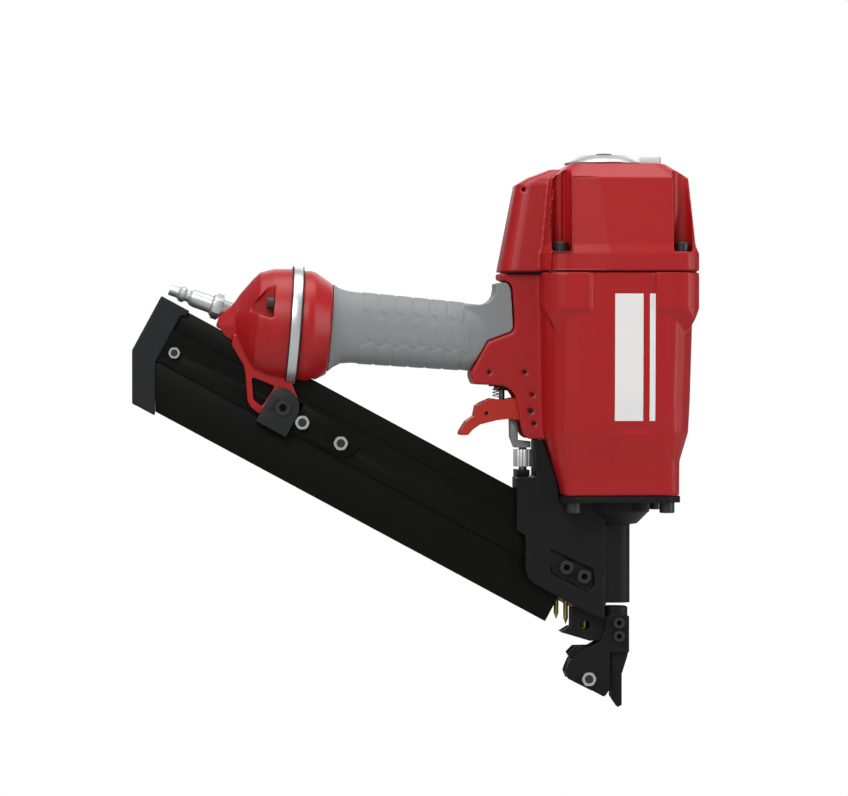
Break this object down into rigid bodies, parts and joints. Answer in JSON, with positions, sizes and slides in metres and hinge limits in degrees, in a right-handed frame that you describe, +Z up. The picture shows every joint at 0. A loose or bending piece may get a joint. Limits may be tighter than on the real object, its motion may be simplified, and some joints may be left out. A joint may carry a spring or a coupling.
{
  "type": "pneumatic strip nailer",
  "caption": "Air-driven strip nailer: upright drive housing with a grip handle, slanted nail magazine, trigger, depth wheel and a sprung placement nose.",
  "frame": {"origin": "on the drive axis, where the nail leaves the nose, level with the tip of the probe blade", "axes": "+X is the front, away from the handle; +Z is up along the drive axis; the two sides lie either side of Y = 0"},
  "size_m": [0.4201, 0.113, 0.4158],
  "materials": {
    "red_paint": "satin red paint on cast magnesium",
    "trigger_red": "satin red",
    "grip_rubber": "moulded grey grip with a raised tread",
    "black_alloy": "satin black coating",
    "magazine_alloy": "black anodised extrusion",
    "black_plastic": "moulded black plastic",
    "black_screws": "black oxide steel",
    "zinc": "zinc plated steel",
    "bare_steel": "bare and heat-treated steel",
    "bright_alloy": "bright aluminium",
    "pale_plastic": "pale moulded plastic",
    "seal_rubber": "black rubber",
    "brass": "yellow plated nails",
    "paper": "paper tape"
  },
  "bodies": {
    "root": {"top_cap": "red_paint", "housing": "red_paint", "end_bell": "red_paint", "handle_grip": "grip_rubber", "nose_frame": "black_alloy", "base_plate": "black_alloy", "strap_plates": "black_alloy", "bracket_ears": "black_alloy", "magazine_body": "magazine_alloy", "magazine_end_cap": "black_plastic", "trigger_valve": "black_plastic", "cap_screws": "black_screws", "base_screws": "black_screws", "cheek_screws": "black_screws", "bell_screws": "black_screws", "arm_screws": "black_screws", "deflector_screw": "black_screws", "trigger_pivot_pin": "black_screws", "valve_pins": "black_screws", "end_cap_nut": "zinc", "strap_fasteners": "zinc", "end_cap_bolt": "zinc", "trigger_spring": "zinc", "contact_spring": "zinc", "head_valve_spring": "zinc", "air_plug": "bare_steel", "nose_barrel": "bare_steel", "magazine_liner": "bare_steel", "bell_ring": "bright_alloy", "cylinder_sleeve": "bright_alloy", "cap_gasket": "seal_rubber", "exhaust_seal": "seal_rubber", "sleeve_rings": "seal_rubber", "bumper": "seal_rubber", "nails": "brass", "paper_tape": "paper"},
    "piston": {"piston": "bright_alloy", "piston_ring": "seal_rubber", "driver_rod": "bare_steel"},
    "head_valve": {"head_valve": "pale_plastic"},
    "deflector": {"exhaust_deflector": "bright_alloy", "deflector_spout": "pale_plastic"},
    "trigger": {"trigger": "trigger_red", "lever_pin": "bare_steel"},
    "trigger_lever": {"trigger_lever": "bare_steel"},
    "valve_stem": {"valve_stem": "bare_steel"},
    "contact": {"contact_rod": "bare_steel", "contact_arm": "black_alloy", "contact_block": "black_alloy", "probe_blade": "bare_steel", "probe_screws": "black_screws", "jaw_bolt": "zinc", "jaw_nut": "zinc", "nail_tip_guide": "black_alloy"},
    "depth_wheel": {"depth_wheel": "bright_alloy"},
    "contact_link": {"contact_link": "bare_steel"},
    "rear_jaw": {"rear_jaw": "black_alloy"},
    "pusher": {"pusher": "bare_steel", "pusher_knob": "black_plastic", "feed_spring": "zinc"}
  },
  "joints": [
    {"name": "piston_slide", "type": "slide", "parent": "root", "child": "piston", "axis": [0, 0, -1], "range_m": [0, 0.104]},
    {"name": "head_valve_lift", "type": "slide", "parent": "root", "child": "head_valve", "axis": [0, 0, 1], "range_m": [0, 0.004], "stiffness_N_per_m": 4000, "springref_m": -0.003, "deforming": ["head_valve_spring"]},
    {"name": "deflector_turn", "type": "hinge", "parent": "root", "child": "deflector", "pos_m": [-0.008, 0, 0.41], "axis": [0, 0, 1], "continuous": true},
    {"name": "trigger_pull", "type": "hinge", "parent": "root", "child": "trigger", "pos_m": [-0.0652, 0, 0.223], "axis": [0, 1, 0], "range_deg": [0, 9], "stiffness_Nm_per_rad": 2, "springref_deg": -8.59, "deforming": ["trigger_spring"]},
    {"name": "lever_tilt", "type": "hinge", "parent": "trigger", "child": "trigger_lever", "pos_m": [-0.0977, 0, 0.2212], "axis": [0, 1, 0], "range_deg": [-10.6, 0]},
    {"name": "stem_lift", "type": "slide", "parent": "root", "child": "valve_stem", "axis": [0, 0, 1], "range_m": [0, 0.003], "stiffness_N_per_m": 800, "springref_m": -0.003},
    {"name": "contact_trip", "type": "slide", "parent": "root", "child": "contact", "axis": [0, 0, 1], "range_m": [0, 0.006], "stiffness_N_per_m": 1500, "springref_m": -0.006, "deforming": ["contact_spring"]},
    {"name": "depth_wheel_turn", "type": "hinge", "parent": "contact", "child": "depth_wheel", "pos_m": [-0.0692, 0, 0.1875], "axis": [0, 0, 1], "range_deg": [-360, 360]},
    {"name": "link_screw", "type": "slide", "parent": "contact", "child": "contact_link", "axis": [0, 0, 1], "range_m": [-0.00099, 0.00099]},
    {"name": "jaw_open", "type": "hinge", "parent": "contact", "child": "rear_jaw", "pos_m": [-0.0208, 0, 0.0221], "axis": [0, 1, 0], "range_deg": [0, 10], "stiffness_Nm_per_rad": 1, "springref_deg": -5.73},
    {"name": "pusher_slide", "type": "slide", "parent": "root", "child": "pusher", "axis": [-0.8796, 0, 0.4756], "range_m": [0, 0.078], "stiffness_N_per_m": 50, "springref_m": -0.2}
  ],
  "couplings": [
    {"joint": "lever_tilt", "follows": "contact_trip", "rad_per_m": -30.5},
    {"joint": "depth_wheel_turn", "follows": "link_screw", "rad_per_m": 6283.2}
  ]
}
